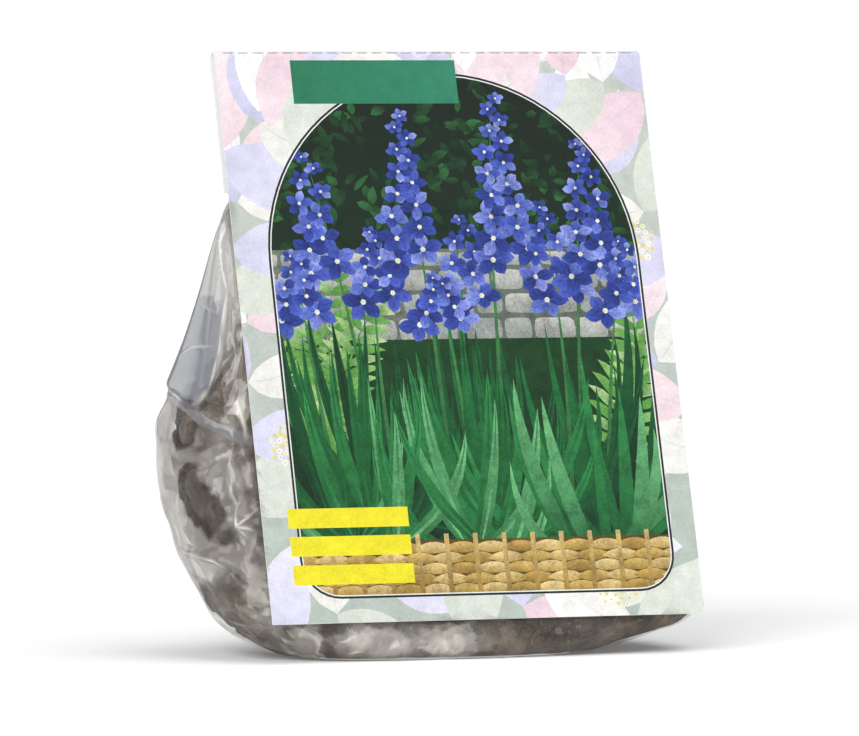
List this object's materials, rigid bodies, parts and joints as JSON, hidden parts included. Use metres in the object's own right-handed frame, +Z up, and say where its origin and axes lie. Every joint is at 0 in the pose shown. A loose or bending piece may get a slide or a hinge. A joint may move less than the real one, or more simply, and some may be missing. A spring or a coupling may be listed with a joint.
{
  "type": "bare-root plant pack",
  "caption": "Folded picture card on a clear film bag of peat with bare-root plant crowns, standing on its filled belly with the card leaning back.",
  "frame": {"origin": "on the surface the pack stands on, under the middle of its footprint box", "axes": "+Z up; the picture card faces -Y and leans back; +X is to the right of someone who reads the card"},
  "size_m": [0.1764, 0.0882, 0.1977],
  "materials": {
    "card": "satin",
    "film": "gloss",
    "glue": "satin",
    "peat": "matte",
    "crown": "matte"
  },
  "bodies": {
    "root": {"picture_card": "card", "film_bag": "film", "glue_strip_front": "glue", "glue_strip_back": "glue", "peat_fill": "peat", "crown_left": "crown", "crown_middle": "crown", "crown_right": "crown"}
  },
  "joints": []
}
